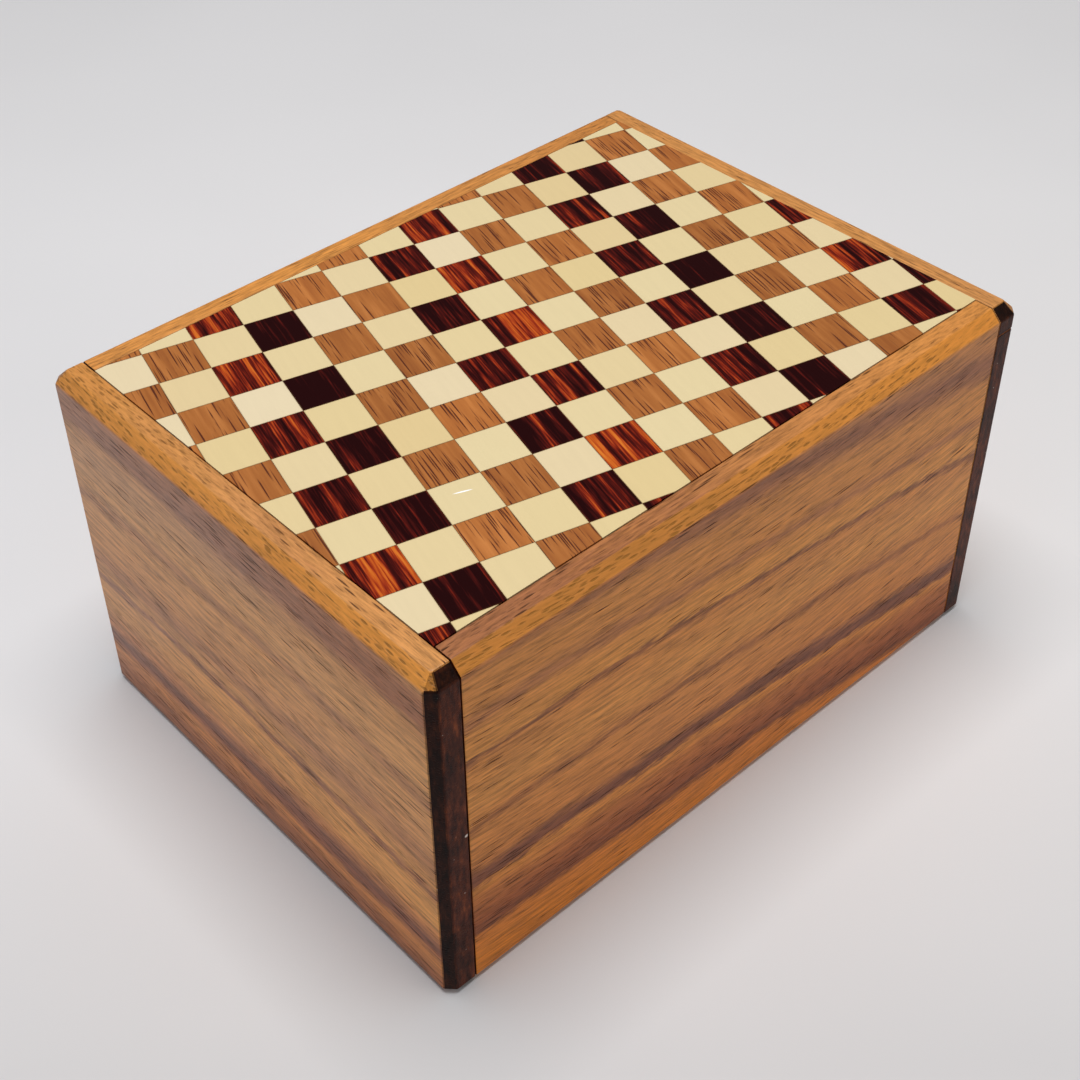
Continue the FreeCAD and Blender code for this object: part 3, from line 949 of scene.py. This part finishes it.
tile_low, tile_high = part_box("marquetry_light_tiles")
for name in ("marquetry_walnut_tiles", "marquetry_rosewood_tiles"):
    other_low, other_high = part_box(name)
    tile_low = Vector(map(min, tile_low, other_low))
    tile_high = Vector(map(max, tile_high, other_high))
field_size = tile_high - tile_low
field_middle = (tile_low + tile_high) / 2
host = bpy.data.objects.new("marquetry_host", bpy.data.meshes.new("marquetry_host"))
bpy.context.scene.collection.objects.link(host)
modifier = host.modifiers.new("marquetry", "NODES")
modifier.node_group = marquetry_tree()
set_inputs(
    modifier,
    {
        "Tile side": TILE, "Glue line": GLUE, "Thickness": field_size.z - SUNK, "Turn": TURN,
        "Start": START + Vector((0, 0, field_middle.z - SUNK / 2)),
        "Field size": Vector((field_size.x, field_size.y, field_size.z * 2)),
        "Field middle": field_middle, "Tip": 0.0012, "Seed": 5,
        "Pale wood": cream_wood, "Brown wood": brown_wood, "Striped wood": striped_wood,
    },
)
bpy.context.view_layer.update()
evaluated = host.evaluated_get(bpy.context.evaluated_depsgraph_get())
mesh = bpy.data.meshes.new_from_object(evaluated)
bpy.data.objects.remove(host)
print("marquetry", len(mesh.polygons), "faces", [m.name for m in mesh.materials])

# %% [markdown]
# The trimmed sheet is one mesh with three woods. Each wood becomes its own piece, because each
# stands for its own set of tiles in the model.

# %% One piece for each wood
for wood, node in (
    (cream_wood, "marquetry_light_tiles"),
    (brown_wood, "marquetry_walnut_tiles"),
    (striped_wood, "marquetry_rosewood_tiles"),
):
    form = bmesh.new()
    form.from_mesh(mesh)
    index = mesh.materials.find(wood.name)
    others = [f for f in form.faces if f.material_index != index]
    bmesh.ops.delete(form, geom=others, context="FACES")
    for f in form.faces:
        f.material_index = 0
        f.smooth = False
    part = bpy.data.meshes.new(node + "_wood")
    form.to_mesh(part)
    form.free()
    part.materials.append(wood)
    piece = bpy.data.objects.new(node + "_wood", part)
    bpy.context.scene.collection.objects.link(piece)
    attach(piece, "lid")
    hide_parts(node)
    print(piece.name, len(part.polygons), "faces")

# %% [markdown]
# ## Studio
# The box stands on a seamless pale sheet. A small softbox straight above gives the lid its even
# light and the foot its soft shadow. A warm lamp low at the front right lights the long side, and
# a cool one low at the left puts the milky sheen on the end panel, where a painted reflection adds
# to it. The surroundings are a weak pale grey that fills the shadows, and the paper has painted
# shade: it is a little greyer towards the viewer.

# %% Floor, lights and surroundings
HEADING = math.radians(48.876)  # the way the camera faces, from the X axis
# where the paper's painted shade, darker towards the viewer, begins and how far it runs
FADE_START, FADE_LENGTH = 0.1, 0.12  # metres: from the middle towards the viewer, then back


def paper():
    """Matt background paper, very slightly mottled, with painted shade: greyer towards the viewer."""
    material = bpy.data.materials.new("background_paper")
    material.use_nodes = True
    tree = material.node_tree
    tree.nodes.clear()
    place = add(tree, "ShaderNodeTexCoord")
    mottle = add(
        tree, "ShaderNodeTexNoise", {"Vector": place.outputs["Object"], "Scale": 9.0, "Detail": 2.0}
    )
    colour = add(tree, "ShaderNodeValToRGB", [mottle], stops=[(0.3, "#E4E3E4"), (0.7, "#E8E7E8")])
    # painted shade: the paper is darkened towards the viewer
    back = add(
        tree,
        "ShaderNodeVectorMath",
        {0: place.outputs["Object"], 1: (math.cos(HEADING), math.sin(HEADING), 0)},
        operation="DOT_PRODUCT",
    ).outputs["Value"]
    back = add(tree, "ShaderNodeMath", [back, FADE_START], operation="ADD")
    back = add(tree, "ShaderNodeMath", [back, FADE_LENGTH], operation="DIVIDE")
    fade = add(
        tree, "ShaderNodeValToRGB", [back], stops=[(0.12, 0.82), (0.46, 0.90), (0.83, 1.0)]
    )
    colour = add(
        tree, "ShaderNodeMix", {0: 1.0, 6: colour, 7: fade}, data_type="RGBA", blend_type="MULTIPLY"
    )
    shader = add(tree, "ShaderNodeBsdfPrincipled", {"Base Color": colour, "Roughness": 0.75})
    add(tree, "ShaderNodeOutputMaterial", [shader])
    return material


bpy.ops.mesh.primitive_plane_add(size=8.0, location=(0, 0, 0))
floor = bpy.context.object
floor.name = "background_sheet"
floor.data.materials.append(paper())


def softbox(name, place, aim, size, power, colour):
    """A square area light at place that faces aim."""
    data = bpy.data.lights.new(name, "AREA")
    data.shape = "SQUARE"
    data.size = size
    data.energy = power
    data.color = linear(colour)[:3]
    lamp = bpy.data.objects.new(name, data)
    lamp.location = place
    lamp.rotation_euler = (Vector(aim) - Vector(place)).to_track_quat("-Z", "Y").to_euler()
    bpy.context.scene.collection.objects.link(lamp)
    print(name, power, "W,", size, "m wide")


middle = (low + high) / 2
softbox("top_softbox", (-0.03, 0.0, 0.75), middle, 0.4, 4.4, "#FFFFFF")
softbox("warm_front", (0.5, -0.95, 0.25), middle, 0.9, 3.1, "#FFF2E0")
softbox("cool_left", (-1.05, 0.1, 0.25), middle, 0.9, 2.6, "#EEF2FF")

world = bpy.data.worlds.new("pale_room")
world.use_nodes = True
room = world.node_tree.nodes["Background"].inputs
room["Color"].default_value = linear("#F2F3F6")
room["Strength"].default_value = 0.22
bpy.context.scene.world = world
bpy.context.scene.view_settings.view_transform = "Standard"

# %% [markdown]
# ## Camera
# The camera looks down on the near corner from a little over two box lengths away, through a lens
# a little longer than normal, held about a degree off level.

# %% Place the camera
camera_data = bpy.data.cameras.new("camera")
camera_data.lens = 58.7
camera_data.sensor_width = 36.0
camera_data.shift_x = 0.0278
camera_data.shift_y = -0.0556
camera = bpy.data.objects.new("camera", camera_data)
camera.location = Vector((-149.7, -162.9, 222.8)) * MM
pitch, roll = math.radians(-40.066), math.radians(-1.376)
look = Vector(
    (math.cos(HEADING) * math.cos(pitch), math.sin(HEADING) * math.cos(pitch), math.sin(pitch))
)
camera.rotation_euler = look.to_track_quat("-Z", "Y").to_euler()
camera.rotation_euler.rotate_axis("Z", roll)
bpy.context.scene.collection.objects.link(camera)
bpy.context.scene.camera = camera
print("camera", camera_data.lens, "mm,", round((camera.location - middle).length / MM), "mm away")
